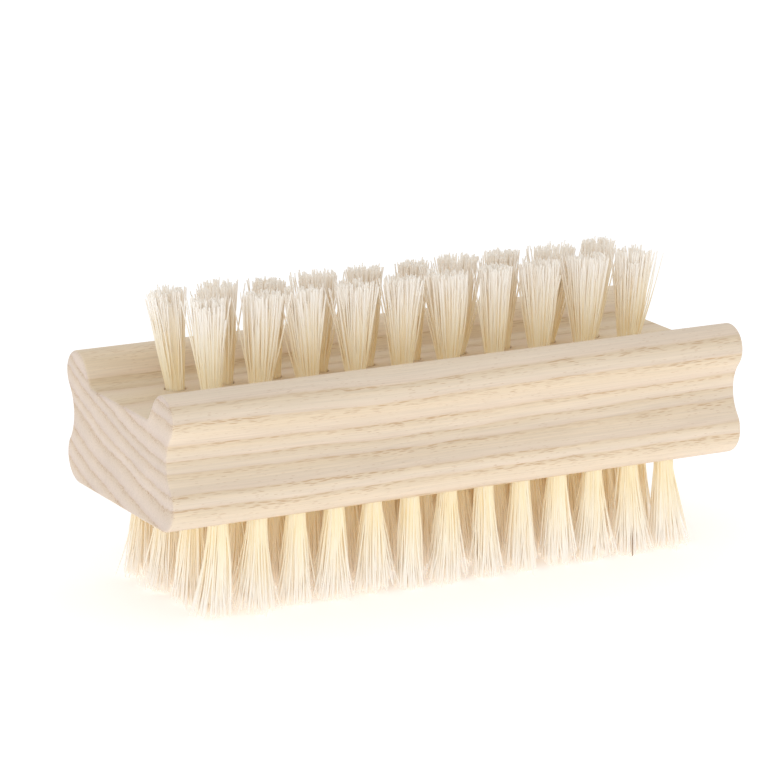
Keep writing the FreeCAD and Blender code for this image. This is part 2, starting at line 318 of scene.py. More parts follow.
def swept_block():
    """Points and faces of the block: at each place, the section's point less the inset times its outward
    direction."""
    places, inset = block_stations()
    across_up = section[None] - inset[:, None, None] * section_out[None]
    along = np.broadcast_to(places[:, None, None], across_up.shape[:2] + (1,))
    points = np.concatenate([along, across_up], -1)
    stations, ring = points.shape[:2]
    index = np.arange(stations * ring).reshape(stations, ring)
    after = np.roll(index, -1, axis=1)
    sides = np.stack([index[:-1], index[1:], after[1:], after[:-1]], -1).reshape(-1, 4)
    ends = np.stack([index[0], index[-1][::-1]])
    return points.reshape(-1, 3), [sides, ends]


block = add_object("moulded_block", fill_mesh("moulded_block", *swept_block()))
print("block faces before drilling:", len(block.data.polygons))

# %% [markdown]
# ## Drilling the tuft holes
# A brush maker drills one blind hole for each tuft. The mesh is drilled the same way: one surface of
# revolution stands for the drill bit, it is copied to every mouth, and a Boolean modifier takes all the
# copies out of the block. The bit widens a little at the top, because a drill always breaks the sharp
# edge of its hole.

# %% Drill the block
HOLE_RADIUS = 1.6 * MM
HOLE_SPARE = 0.1 * MM
RIM_BREAK = 0.12 * MM
BIT_ABOVE = 0.6 * MM
BIT_SIDES = 28
SHARP_FOLD = math.radians(35)


def drill_bit(mouth, fold):
    """Points and faces of one closed bit: rings of a radius at a depth, turned about the hole's axis."""
    into = np.sign(fold[2] - mouth[2])
    depth = abs(fold[2] - mouth[2]) + HOLE_SPARE
    radius = HOLE_RADIUS + np.array([0, 0, RIM_BREAK, RIM_BREAK])
    height = mouth[2] + into * np.array([depth, RIM_BREAK, 0, -BIT_ABOVE])
    spokes = towards(np.linspace(0, 2 * math.pi, BIT_SIDES, endpoint=False))
    flat = mouth[:2] + radius[:, None, None] * spokes[None]
    rings = np.concatenate([flat, np.broadcast_to(height[:, None, None], flat.shape[:2] + (1,))], -1)
    index = np.arange(rings.shape[0] * BIT_SIDES).reshape(-1, BIT_SIDES)
    after = np.roll(index, -1, axis=1)
    sides = np.stack([index[:-1], after[:-1], after[1:], index[1:]], -1).reshape(-1, 4)
    ends = np.stack([index[0][::-1], index[-1]])
    if into > 0:
        sides, ends = sides[:, ::-1], ends[:, ::-1]
    return rings.reshape(-1, 3), sides, ends


def drill(target, holes):
    """Cuts every hole out of the target mesh, and marks the edges sharp enough to break the light."""
    bit_points, bit_sides, bit_ends = zip(*(drill_bit(tuft["mouth"], tuft["fold"]) for tuft in holes))
    shifts = np.cumsum([0] + [len(points) for points in bit_points[:-1]])
    sides = np.concatenate([rows + shift for rows, shift in zip(bit_sides, shifts)])
    ends = np.concatenate([rows + shift for rows, shift in zip(bit_ends, shifts)])
    tool = add_object("drill_bits", fill_mesh("drill_bits", np.concatenate(bit_points), [sides, ends]))
    cut = target.modifiers.new("drilling", "BOOLEAN")
    cut.operation = "DIFFERENCE"
    cut.solver = "EXACT"
    cut.object = tool
    evaluated = target.evaluated_get(bpy.context.evaluated_depsgraph_get())
    drilled = bpy.data.meshes.new_from_object(evaluated)
    target.modifiers.clear()
    target.data = drilled
    bpy.data.objects.remove(tool)
    drilled.set_sharp_from_angle(angle=SHARP_FOLD)


drill(block, all_tufts)
seat(block, "ash_wood", "handle_block")
print("block faces after drilling", len(all_tufts), "holes:", len(block.data.polygons))

# %% [markdown]
# ## Small helpers for node materials
# A material is a tree of nodes. Written out in full, each node takes several lines, so these helpers
# add one node in a call: a value goes into the node's input, and another node's output is linked to it.
# Smooth noise seldom comes near 0 or 1, so three named ranges say how much of it is read.

# %% Helpers for numbers
NARROW_NOISE = (0.3, 0.7)
USUAL_NOISE = (0.25, 0.75)
WIDE_NOISE = (0.2, 0.8)


def put(tree, value, socket):
    """Links an output to an input, or sets the input's value."""
    if isinstance(value, bpy.types.NodeSocket):
        tree.links.new(value, socket)
    else:
        socket.default_value = value


def node(tree, kind, inputs=(), **settings):
    """Adds a node with some settings and fills its inputs, which are given by name or by number."""
    made = tree.nodes.new("ShaderNode" + kind)
    for name, value in settings.items():
        setattr(made, name, value)
    for key, value in dict(inputs).items():
        put(tree, value, made.inputs[key])
    return made


def maths(tree, operation, *values):
    """One sum on numbers, such as MULTIPLY or FRACT."""
    return node(tree, "Math", dict(enumerate(values)), operation=operation).outputs[0]


def vectors(tree, operation, *values):
    """One sum on vectors. LENGTH gives a number, and the others give a vector."""
    made = node(tree, "VectorMath", dict(enumerate(values)), operation=operation)
    return made.outputs["Value" if operation == "LENGTH" else "Vector"]


def noise(tree, vector, stretch, detail=2.0):
    """Smooth noise from 0 to 1, in space that is multiplied by one number for each axis."""
    stretched = vectors(tree, "MULTIPLY", vector, stretch)
    return node(tree, "TexNoise", {"Vector": stretched, "Scale": 1.0, "Detail": detail}).outputs["Fac"]


def between(tree, value, low, high, to_low=0.0, to_high=1.0, smooth=False):
    """A value taken from one range to another, held at the ends."""
    made = node(tree, "MapRange", {0: value, 1: low, 2: high, 3: to_low, 4: to_high})
    made.interpolation_type = "SMOOTHSTEP" if smooth else "LINEAR"
    return made.outputs[0]


# %% Helpers for colours


def screen_colour(red, green, blue):
    """A colour given as screen values from 0 to 255, as the linear light that a shader works with."""
    screen = np.array([red, green, blue]) / 255
    linear = np.where(screen <= 0.04045, screen / 12.92, ((screen + 0.055) / 1.055) ** 2.4)
    return (*linear, 1.0)


def ramp(tree, value, stops):
    """Colours along a line: stops are pairs of a place from 0 to 1 and a colour."""
    made = node(tree, "ValToRGB", {"Fac": value})
    elements = made.color_ramp.elements
    while len(elements) < len(stops):
        elements.new(1.0)
    for element, (place, colour) in zip(elements, stops):
        element.position = place
        element.color = colour
    return made.outputs["Color"]


def mix(tree, share, first, second):
    """Two colours mixed by a share. Inputs 6 and 7 and output 2 of this node are for colours."""
    return node(tree, "Mix", {0: share, 6: first, 7: second}, data_type="RGBA").outputs[2]


def scaled(tree, colour, factor):
    """A colour times a number that comes from another node."""
    return node(tree, "VectorMath", {0: colour, "Scale": factor}, operation="SCALE").outputs["Vector"]


def new_material(name):
    """A material with an empty tree, and its Principled shader already wired to the output."""
    material = bpy.data.materials.new(name)
    material.use_nodes = True
    tree = material.node_tree
    tree.nodes.clear()
    shader = node(tree, "BsdfPrincipled")
    output = node(tree, "OutputMaterial")
    tree.links.new(shader.outputs[0], output.inputs["Surface"])
    return material, tree, shader


print("middle grey on a screen, as linear light:", round(screen_colour(128, 128, 128)[0], 3))

# %% [markdown]
# ## Ash wood: growth rings
# A tree adds one ring a year, and no two years are alike. An image of wood would need one picture for
# every face and would show seams at the edges. Here the wood is solid: rings about the tree's centre,
# far above the block, are worked out at every point of space, so the lines on a sawn end run on along
# the side. A curve with one step for each ring counts the years.

# %% Growth rings, in millimetres
PITH = (0.0, -31.0, 125.0)
RING_EDGES = (104.5, 107.4, 109.7, 113.5, 115.9, 117.7, 120.3, 122.0, 125.4, 128.0, 130.6, 132.9, 135.5)
GRAIN_WANDER = 1.1
WANDER_STRETCH = (0.018, 0.09, 0.09)
RAGGED_RING = 0.42
RAGGED_STRETCH = (0.11, 1.4, 1.4)


def grain_space(tree):
    """Millimetres from the middle of the underside, bent by the grain's slow wander across the block."""
    space = node(tree, "TexCoord").outputs["Object"]
    lift = (0, 0, -block_bottom / MM)
    place = node(tree, "Mapping", {"Vector": space, "Scale": (1 / MM,) * 3, "Location": lift}).outputs[0]
    slow = vectors(tree, "MULTIPLY", place, WANDER_STRETCH)
    drift = node(tree, "TexNoise", {"Vector": slow, "Scale": 1.0, "Detail": 1.0}).outputs["Color"]
    drift = vectors(tree, "SUBTRACT", drift, (0.5, 0.5, 0.5))
    drift = vectors(tree, "MULTIPLY", drift, (0, 2 * GRAIN_WANDER, 2 * GRAIN_WANDER))
    return vectors(tree, "ADD", place, drift)


def from_pith(tree, grown):
    """The distance from the tree's centre, made ragged by noise that is stretched along the grain."""
    across = vectors(tree, "MULTIPLY", vectors(tree, "SUBTRACT", grown, PITH), (0, 1, 1))
    distance = vectors(tree, "LENGTH", across)
    ragged = noise(tree, grown, RAGGED_STRETCH, detail=4.0)
    return maths(tree, "ADD", distance, between(tree, ragged, 0, 1, -RAGGED_RING, RAGGED_RING))


def year_of_growth(tree, distance):
    """The number of rings from the first edge to a distance from the pith.

    It is read off a curve with one step for each edge. Its whole part counts the rings, and the rest tells
    spring wood from summer wood.
    """
    share = between(tree, distance, RING_EDGES[0], RING_EDGES[-1])
    counter = node(tree, "FloatCurve", {"Value": share})
    line = counter.mapping.curves[0]
    places = np.interp(RING_EDGES, (RING_EDGES[0], RING_EDGES[-1]), (0, 1))
    counts = np.linspace(0, 1, len(RING_EDGES))
    for place, count in zip(places[1:-1], counts[1:-1]):
        line.points.new(place, count)
    for point in line.points:
        point.handle_type = "VECTOR"
    counter.mapping.update()
    return maths(tree, "MULTIPLY", counter.outputs[0], len(RING_EDGES) - 1.0)


print("growth rings across the block:", len(RING_EDGES) - 1)

# %% [markdown]
# ## Ash wood: pores
# Ash is ring-porous: each year starts with a row of wide pores and ends in dense, smooth wood. Cut
# lengthways the pores show as short brown dashes in lines, and on the sawn ends as dots along the
# rings. One pattern gives both: cells that are stretched along the grain, each with a pore at its
# middle.

# %% Pores
PORE_STRETCH = (0.48, 5.6, 5.6)
PORE_ZONE = 0.45
PORE_SIZES = (0.62, 0.2)
PORE_SOFT_EDGE = 0.5
PATCH_STRETCH = (0.06, 0.5, 0.5)
PATCH_NOISE = (0.34, 0.6)
PATCH_DEPTH = (0.25, 1.0)


def pores_of(tree, grown, season):
    """How far a point lies in a pore, from 0 to 1.

    That is one minus its distance from the middle of its cell over the pore's size. Pores are wide in the
    spring wood that starts a ring, and they fade out in patches.
    """
    cells = vectors(tree, "MULTIPLY", grown, PORE_STRETCH)
    cell = node(tree, "TexVoronoi", {"Vector": cells, "Scale": 1.0}).outputs["Distance"]
    size = between(tree, season, 0.0, PORE_ZONE, *PORE_SIZES)
    inside = maths(tree, "SUBTRACT", 1.0, maths(tree, "DIVIDE", cell, size))
    inside = between(tree, inside, 0.0, PORE_SOFT_EDGE, smooth=True)
    patchy = between(tree, noise(tree, grown, PATCH_STRETCH), *PATCH_NOISE, *PATCH_DEPTH)
    return maths(tree, "MULTIPLY", inside, patchy)


print("size of the pores in spring and summer wood, in cells:", PORE_SIZES)

# %% [markdown]
# ## Ash wood: colour and finish
# The wood is bare and sanded: pale straw in summer wood, warmer in spring wood, with fine fibres over
# all. Sawn ends look greyer, because light sinks into the open fibres, and they are painted a little
# darker as painted shade, for the end faces get less light. The channel is painted a little darker as
# painted shade, where the rails and tufts keep light off. Each of these multiplies the colour, so they
# can be set one by one.

# %% Wood colour
WOOD_YEAR = (
    (0.00, screen_colour(218, 198, 171)),
    (0.18, screen_colour(222, 204, 178)),
    (0.42, screen_colour(226, 209, 186)),
    (0.72, screen_colour(226, 210, 190)),
    (0.92, screen_colour(222, 204, 185)),
    (1.00, screen_colour(218, 198, 174)),
)
YEAR_TONE = (0.97, 1.03)
END_GRAIN_FACES = (0.45, 0.85)
# End grain is greyer than side grain, and is also painted darker as painted shade for end faces that get
# less light.
END_GRAIN_GREY_AND_SHADE = (0.92, 0.92, 0.99)
# Painted shade: the channel floor and walls are painted darker where the rails and tufts keep light off.
CHANNEL_SHADE_TINT = (0.96, 0.95, 0.91)
CHANNEL_SHADE_FADE = (11.5 * MM, 13.5 * MM)
CHANNEL_SHADE_ABOVE = channel_floor - 1.0 * MM


def year_colour(tree, years, season):
    """The colour of the season, times a tone that each ring has by chance."""
    tone = node(tree, "TexWhiteNoise", {"W": maths(tree, "FLOOR", years)}, noise_dimensions="1D")
    tone = between(tree, tone.outputs["Value"], 0, 1, *YEAR_TONE)
    return scaled(tree, ramp(tree, season, WOOD_YEAR), tone)


def in_channel(tree):
    """1 on the floor and walls of the channel, which get painted shade, and 0 on the sanded outside."""
    place = node(tree, "SeparateXYZ", {0: node(tree, "TexCoord").outputs["Object"]}).outputs
    aside = between(tree, maths(tree, "ABSOLUTE", place["Y"]), *CHANNEL_SHADE_FADE, 1.0, 0.0, smooth=True)
    return maths(tree, "MULTIPLY", aside, maths(tree, "GREATER_THAN", place["Z"], CHANNEL_SHADE_ABOVE))


def tinted_by_face(tree, colour):
    """The colour made greyer and darker on the end grain, whose faces look along the brush, and darker in
    the channel. The darkening is painted shade.
    """
    facing = node(tree, "SeparateXYZ", {0: node(tree, "NewGeometry").outputs["Normal"]}).outputs["X"]
    end_grain = between(tree, maths(tree, "ABSOLUTE", facing), *END_GRAIN_FACES, smooth=True)
    colour = mix(tree, end_grain, colour, vectors(tree, "MULTIPLY", colour, END_GRAIN_GREY_AND_SHADE))
    # Painted shade in the channel, kept off the end grain.
    channel_shade = maths(tree, "MULTIPLY", in_channel(tree), maths(tree, "SUBTRACT", 1.0, end_grain))
    return mix(tree, channel_shade, colour, vectors(tree, "MULTIPLY", colour, CHANNEL_SHADE_TINT))


print("colours in a year of wood:", len(WOOD_YEAR))

# %% Wood finish
PORE_COLOUR = screen_colour(178, 136, 94)
PORE_STAIN = 0.55
FIBRE_STRETCH = (0.07, 5.0, 5.0)
FIBRE_TONE = (0.925, 1.065)
BOARD_STRETCH = (0.02, 0.16, 0.16)
BOARD_TONE = (0.965, 1.03)
WOOD_ROUGHNESS = (0.58, 0.7)
PORE_ROUGHNESS = 0.2
FIBRE_HEIGHT = 0.25
GRAIN_DEPTH = 0.06 * MM
GRAIN_STRENGTH = 0.35
WOOD_GLOSS = 0.15


def ash_wood():
    """Rings by distance from the pith, pores as cells along the grain, and fine fibres over all."""
    material, tree, shader = new_material("ash_wood")
    grown = grain_space(tree)
    years = year_of_growth(tree, from_pith(tree, grown))
    season = maths(tree, "FRACT", years)
    pore = pores_of(tree, grown, season)
    fibre = noise(tree, grown, FIBRE_STRETCH, detail=3.0)
    board = noise(tree, grown, BOARD_STRETCH)

    colour = year_colour(tree, years, season)
    colour = mix(tree, maths(tree, "MULTIPLY", pore, PORE_STAIN), colour, PORE_COLOUR)
    colour = scaled(tree, colour, between(tree, fibre, *USUAL_NOISE, *FIBRE_TONE))
    colour = scaled(tree, colour, between(tree, board, *NARROW_NOISE, *BOARD_TONE))
    put(tree, tinted_by_face(tree, colour), shader.inputs["Base Color"])

    rough = between(tree, fibre, *WIDE_NOISE, *WOOD_ROUGHNESS)
    rough = maths(tree, "ADD", rough, maths(tree, "MULTIPLY", pore, PORE_ROUGHNESS))
    put(tree, rough, shader.inputs["Roughness"])
    height = maths(tree, "SUBTRACT", maths(tree, "MULTIPLY", fibre, FIBRE_HEIGHT), pore)
    bump = node(tree, "Bump", {"Height": height, "Strength": GRAIN_STRENGTH, "Distance": GRAIN_DEPTH})
    put(tree, bump.outputs[0], shader.inputs["Normal"])
    shader.inputs["Specular IOR Level"].default_value = WOOD_GLOSS
    return material


block.data.materials.clear()
block.data.materials.append(ash_wood())
print("nodes in the wood:", len(block.data.materials[0].node_tree.nodes))

# %% [markdown]
# ## Where the bristles stand
# Each tuft is a dense bundle of bristles, folded in half round a wire anchor and pushed into its hole.
# Packed tight at the mouth, the bristles fan out towards their cut tips and lean against each other in
# locks. A spiral by the golden angle spreads any number of them over a round hole, a little closer at
# the rim, and a seeded generator does the rest.

# %% Roots, tips and lengths
BRISTLES = 230
BRISTLE_RADIUS = 0.15 * MM
GOLDEN_TURN = math.pi * (3 - math.sqrt(5))
RIM_PACKING = 0.4
ROOT_SHUFFLE = 0.05 * MM
WIDEST_SPLIT = 0.5 * MM
LOOSE_TIP = 0.28 * MM
LOCKS = 11
LOCK_PULL = 0.38
WEAKEST_PULL = 0.2
STRAYS = 0.12
STRAY_REACH = 1.5
LOCK_UNEVEN = 0.65 * MM
BRISTLE_UNEVEN = 0.4 * MM
SHORT_HAIRS = 0.06
DEEPEST_CUT = 2.5 * MM
TIP_ROUND = 0.4


def packed_in_hole(chance, radius):
    """Places of the bristles in a hole: a golden-angle spiral, closer at the rim, a little shuffled."""
    number = np.arange(BRISTLES)
    reach = radius * ((number + 0.5) / BRISTLES) ** RIM_PACKING
    spiral = reach[:, None] * towards(number * GOLDEN_TURN + chance.uniform(0, 2 * math.pi))
    return spiral + chance.normal(0, ROOT_SHUFFLE, spiral.shape)


def tip_places(chance, roots, fan, radius):
    """Where the tips end up, seen along the tuft, and the lock that each bristle belongs to.

    The root places are fanned out, the two folded halves are pushed apart, and each tip is drawn part of
    the way to the nearest of a few locks. A few bristles stray.
    """
    split = chance.uniform(0, WIDEST_SPLIT)
    tips = roots * fan + np.sign(roots[:, :1]) * [split, 0]
    tips += chance.normal(0, LOOSE_TIP, tips.shape)
    from_axis = radius * np.sqrt(chance.uniform(0, 1, (LOCKS, 1)))
    locks = from_axis * towards(chance.uniform(0, 2 * math.pi, LOCKS))
    lock = np.argmin(np.linalg.norm(tips[:, None] - locks[None], axis=-1), axis=1)
    tips += LOCK_PULL * chance.uniform(WEAKEST_PULL, 1, (BRISTLES, 1)) * (locks[lock] - tips)
    stray = chance.uniform(0, 1, (BRISTLES, 1)) < STRAYS
    return np.where(stray, tips * STRAY_REACH, tips), lock


def cut_lengths(chance, lock, length):
    """The share of its free length that each bristle keeps.

    Lengths are uneven by lock and by bristle, and a few are cut short. Both faces are trimmed level, so no
    bristle reaches past the plane of the tips.
    """
    uneven = LOCK_UNEVEN * chance.normal(size=LOCKS)[lock] + BRISTLE_UNEVEN * chance.normal(size=BRISTLES)
    is_short = chance.uniform(0, 1, BRISTLES) < SHORT_HAIRS
    short = np.where(is_short, chance.uniform(0, DEEPEST_CUT, BRISTLES), 0)
    return 1 - (np.abs(uneven) + short + TIP_ROUND * BRISTLE_RADIUS) / length


print("bristles in a tuft:", BRISTLES, "in locks:", LOCKS)

# %% [markdown]
# ## The curve of a bristle
# Each bristle bows a little between its root and its tip, in its own way. Hair particles would make
# this quickly, but they can't be exported as a mesh. So each bristle that shows is a thin tube along
# its own curve, and the curves of a whole tuft are computed together in one array.

# %% The curve of every bristle
FREE_PLACES = np.array([0.0, 0.2, 0.45, 0.7, 0.88, 1.0])
FOLD_PINCH = 0.7
BOW = 0.2 * MM
THICKNESS = (0.75, 1.15)
TIP_TAPER = 0.7


def along_tuft(tuft, flat, share):
    """Points at shares of the free length, given how far they lie from the axis, the fold put first."""
    height = tuft["mouth"][2] + share * (tuft["tip"] - tuft["mouth"])[2]
    free = np.concatenate([tuft["mouth"][:2] + flat, height[..., None]], -1)
    fold = np.broadcast_to(tuft["fold"], (len(free), 1, 3)).copy()
    fold[..., :2] += FOLD_PINCH * flat[:, :1]
    return np.concatenate([fold, free], 1)


def bristle_curves(chance, tuft, lean, fan):
    """Centre lines and radii of a tuft's bristles, as arrays over bristles and places along them.

    A line starts at the fold, where the bundle is pinched, and runs to its root place at the mouth. From
    there it moves by the way to its tip place times the share of the free length to a power. A half sine
    adds the bow.
    """
    spread, power = fan
    inner = tuft["mouth_radius"] - BRISTLE_RADIUS
    outer = spread * tuft["tip_radius"] - BRISTLE_RADIUS
    roots = packed_in_hole(chance, inner)
    tips, lock = tip_places(chance, roots, outer / inner, outer)
    bow = chance.normal(0, BOW, (BRISTLES, 1, 2))
    reach = cut_lengths(chance, lock, abs(tuft["tip"] - tuft["mouth"])[2])
    share = FREE_PLACES[None] * reach[:, None]
    flat = roots[:, None] + share[..., None] ** power * (tips - roots + lean)[:, None]
    flat += bow * np.sin(math.pi * FREE_PLACES)[None, :, None]
    thick = BRISTLE_RADIUS * chance.uniform(*THICKNESS, (BRISTLES, 1))
    radii = thick * (1 - (1 - TIP_TAPER) * np.append(0, FREE_PLACES))[None]
    return along_tuft(tuft, flat, share), radii


print("points along each bristle:", len(FREE_PLACES) + 1)

# %% [markdown]
# ## The heart of a tuft
# Deep in a tuft the bristles stand so close that no single one can be told apart, and light that gets
# in comes out again after many turns. Drawing hundreds of hidden bristles would cost memory and leave
# the tuft grey and thin. A ridged core stands for them instead: it fills most of the bundle, fans out
# with it, and stops short of the tips. Core and bristles are both tubes, so one function makes them: an
# outline carried along a line.

# %% The core, and tubes round all lines
CORE_PLACES = np.array([0.0, 0.15, 0.35, 0.55, 0.72, 0.84])
CORE_FILL = np.array([0.96, 0.92, 0.87, 0.8, 0.7, 0.5])
CORE_SIDES = 56
CORE_RIDGE = 0.035
BRISTLE_SIDES = 4
BRISTLE_OUTLINE = towards(np.linspace(0, 2 * math.pi, BRISTLE_SIDES, endpoint=False))


def core_outline(chance):
    """A circle of radius 1 whose points lie in or out a little by chance, for ridges like bristles."""
    angle = np.linspace(0, 2 * math.pi, CORE_SIDES, endpoint=False)
    return chance.normal(1, CORE_RIDGE, (CORE_SIDES, 1)) * towards(angle)


def core_curve(tuft, lean, fan):
    """Centre line and radii of the core, which widens with the fan of the bristles and ends narrow."""
    spread, power = fan
    fanned = CORE_PLACES**power
    widening = spread * tuft["tip_radius"] - tuft["mouth_radius"]
    radii = CORE_FILL * (tuft["mouth_radius"] + fanned * widening)
    flat = fanned[None, :, None] * lean
    return along_tuft(tuft, flat, CORE_PLACES[None]), np.append(radii[0], radii)[None]


def tubes(lines, radii, outline):
    """Closed tubes round many lines at once: an outline times a radius round each place, with low cones
    at both ends."""
    count, places = radii.shape
    sides = len(outline)
    spokes = np.concatenate([outline, np.zeros((sides, 1))], -1)
    rings = lines[:, :, None] + radii[:, :, None, None] * spokes[None, None]
    outwards = lines[:, [0, -1]] - lines[:, [1, -2]]
    outwards /= np.linalg.norm(outwards, axis=-1, keepdims=True)
    ends = lines[:, [0, -1]] + TIP_ROUND * radii[:, [0, -1], None] * outwards
    points = np.concatenate([rings.reshape(count, -1, 3), ends], 1)
    index = np.arange(places * sides).reshape(places, sides)
    after = np.roll(index, -1, axis=1)
    walls = np.stack([index[:-1], after[:-1], after[1:], index[1:]], -1).reshape(-1, 4)
    root_cap = np.stack([after[0], index[0], np.full(sides, places * sides)], -1)
    tip_cap = np.stack([index[-1], after[-1], np.full(sides, places * sides + 1)], -1)
    caps = np.concatenate([root_cap, tip_cap])
    if lines[0, -1, 2] < lines[0, 0, 2]:
        walls, caps = walls[:, ::-1], caps[:, ::-1]
    shift = (np.arange(count) * points.shape[1])[:, None, None]
    faces = [(rows[None] + shift).reshape(-1, rows.shape[1]) for rows in (walls, caps)]
    return points.reshape(-1, 3), faces


print("points on one bristle:", (len(FREE_PLACES) + 1) * BRISTLE_SIDES + 2)

# %% [markdown]
# ## Bristle finish
# Natural bristle is ivory near the root and bleaches towards its tip, and no two hairs are quite alike.
# The finish therefore reads two values that each bristle carries: how far a point lies along it, and a
# tone of its own. Light goes from hair to hair many times before it leaves a tuft, and takes on a
# deeper gold on the way. Subsurface scattering would leave such thin hairs too dark, so the colour is
# nearly white, and the gold comes with the bounces. Only the core is given a deeper gold of its own,
# which is painted shade.

# %% Bristle material
TONES = (
    (0.0, screen_colour(249, 235, 197)),
    (0.5, screen_colour(251, 240, 209)),
    (1.0, screen_colour(253, 246, 223)),
)
TIP_COLOUR = screen_colour(253, 249, 243)
BLEACHED_FROM = (0.2, 0.9)
BLEACHED_BY = (0.0, 0.95)
STREAK_STRETCH = (5200, 5200, 260)
STREAK_TONE = (0.98, 1.0)
DARK_HAIR = screen_colour(150, 118, 88)
DARK_HAIR_TONE = -1
DARK_FROM = (0.66, 0.8)
BRISTLE_ROUGHNESS = (0.4, 0.55)
BRISTLE_GLOSS = 0.9


def bristle_finish():
    """A tone for each bristle, paler to the tip, with faint streaks along the hair."""
    material, tree, shader = new_material("bristle")
    along = node(tree, "Attribute", attribute_name="along").outputs["Fac"]
    tone = node(tree, "Attribute", attribute_name="tone").outputs["Fac"]
    tip = between(tree, along, *BLEACHED_FROM, *BLEACHED_BY)
    colour = mix(tree, tip, ramp(tree, tone, TONES), TIP_COLOUR)
    streak = noise(tree, node(tree, "TexCoord").outputs["Object"], STREAK_STRETCH)
    colour = scaled(tree, colour, between(tree, streak, *USUAL_NOISE, *STREAK_TONE))
    is_dark = maths(tree, "LESS_THAN", tone, DARK_HAIR_TONE / 2)
    dark = maths(tree, "MULTIPLY", is_dark, between(tree, along, *DARK_FROM))
    put(tree, mix(tree, dark, colour, DARK_HAIR), shader.inputs["Base Color"])
    put(tree, between(tree, streak, *WIDE_NOISE, *BRISTLE_ROUGHNESS), shader.inputs["Roughness"])
    shader.inputs["Specular IOR Level"].default_value = BRISTLE_GLOSS
    return material


bristle_material = bristle_finish()
print("bristle tones:", len(TONES))

# %% [markdown]
# ## Values along the bristles
# The two values that the finish reads are stored on the points of the mesh, as attributes. They repeat
# in the same order as the points of the tubes: ring after ring, and then the two end points.

# %% Values for the points
# Painted shade: the core takes a deeper gold tone than the bristles, for the depth of the tuft.
CORE_SHADE_TONE = 0.2


def point_values(shares, tones, sides):
    """For each point of the tubes: its share of the way from mouth to tip, and its bristle's tone."""
    steps = np.concatenate([np.repeat(np.append(0, shares), sides), [0, shares[-1]]])
    return np.stack([np.tile(steps, len(tones)), np.repeat(tones, len(steps))])


def core_values(tones):
    """The same for the points of a core, where each ridge has a tone of its own about a deeper gold that
    is painted shade.
    """
    shares = np.append(0, CORE_PLACES)
    steps = np.concatenate([np.repeat(shares, CORE_SIDES), shares[[0, -1]]])
    return np.stack([steps, np.append(np.tile(tones, len(shares)), [CORE_SHADE_TONE] * 2)])


print("values and points of one bristle:", point_values(FREE_PLACES, np.zeros(1), BRISTLE_SIDES).shape)

# %% [markdown]
# ## Planting the tufts
# Every CAD tuft node gets one piece of bristles that stands for it. A seeded generator gives each
# bristle its chance values, so the brush comes out the same on every run. One hair in the front lower
# row has a dark end, as happens in natural bristle. The tubes are shaded flat: with four sides, smooth
# shading would lose light at every bounce.

# %% Plant all tufts
SEED = 20
UPPER_FAN = (0.94, 1.0)
LOWER_FAN = (0.95, 1.4)
FAN_UNEVEN = 0.2
TUFT_LEAN = 0.35 * MM
TONE_MIDDLE = 0.5
TONE_SPREAD = 0.22
CORE_SHADE_TONE_SPREAD = 0.2
DARK_HAIR_TUFT = ("lower_tufts_12", 0)
DARK_HAIR_TIP = np.array([-0.9, -2.3]) * MM
chance = np.random.default_rng(SEED)


def grow(tuft, has_dark_hair):
    """Points, faces and values of the bristles and the core of one tuft."""
    lean = tuft["tip"][:2] - tuft["mouth"][:2] + chance.normal(0, TUFT_LEAN, 2)
    spread, power = LOWER_FAN if tuft["tip"][2] < tuft["mouth"][2] else UPPER_FAN
    fan = (spread * chance.uniform(1 - FAN_UNEVEN, 1 + FAN_UNEVEN), power)
    lines, radii = bristle_curves(chance, tuft, lean, fan)
    tones = np.clip(chance.normal(TONE_MIDDLE, TONE_SPREAD, len(lines)), 0, 1)
    if has_dark_hair:
        from_spot = np.linalg.norm(lines[:, -1, :2] - tuft["tip"][:2] - DARK_HAIR_TIP, axis=1)
        tones[np.argmin(from_spot)] = DARK_HAIR_TONE
    hairs = tubes(lines, radii, BRISTLE_OUTLINE)
    hair_values = point_values(FREE_PLACES, tones, BRISTLE_SIDES)
    heart = tubes(*core_curve(tuft, lean, fan), core_outline(chance))
    heart_values = core_values(chance.normal(CORE_SHADE_TONE, CORE_SHADE_TONE_SPREAD, CORE_SIDES).clip(0, 1))
    return [(*hairs, hair_values), (*heart, heart_values)]


def plant(node_name):
    """The bristles of all tufts in a node, as one piece."""
    dark = [(node_name, row) == DARK_HAIR_TUFT for row in range(len(tufts[node_name]))]
    grown = [part for tuft, has_dark in zip(tufts[node_name], dark) for part in grow(tuft, has_dark)]
    part_points, part_faces, part_values = zip(*grown)
    shifts = np.cumsum([0] + [len(points) for points in part_points])
    faces = [group + shift for groups, shift in zip(part_faces, shifts) for group in groups]
    name = node_name.replace("tuft", "bristle")
    piece = add_object(name, fill_mesh(name, np.concatenate(part_points), faces, smooth=False))
    for label, numbers in zip(("along", "tone"), np.concatenate(part_values, axis=1)):
        layer = piece.data.attributes.new(label, "FLOAT", "POINT")
        layer.data.foreach_set("value", numbers.astype(np.float32))
    piece.data.materials.append(bristle_material)
    return seat(piece, "bristle", node_name)


bristles = [plant(node_name) for node_name in tufts]
bristle_faces = sum(len(piece.data.polygons) for piece in bristles)
print("pieces of bristle:", len(bristles), "faces in all:", bristle_faces)

# %% [markdown]
# ## Wire anchors
# The flat anchors are cut from drawn steel wire. They lie deep in the holes and keep their CAD shape,
# so they only need a metal finish with the fine lines that drawing leaves along the wire.

# %% Anchor finish
WIRE_STRETCH = (9000, 300, 9000)
WIRE_TONES = ((0.3, screen_colour(150, 150, 152)), (0.7, screen_colour(196, 196, 198)))
WIRE_ROUGHNESS = (0.28, 0.45)


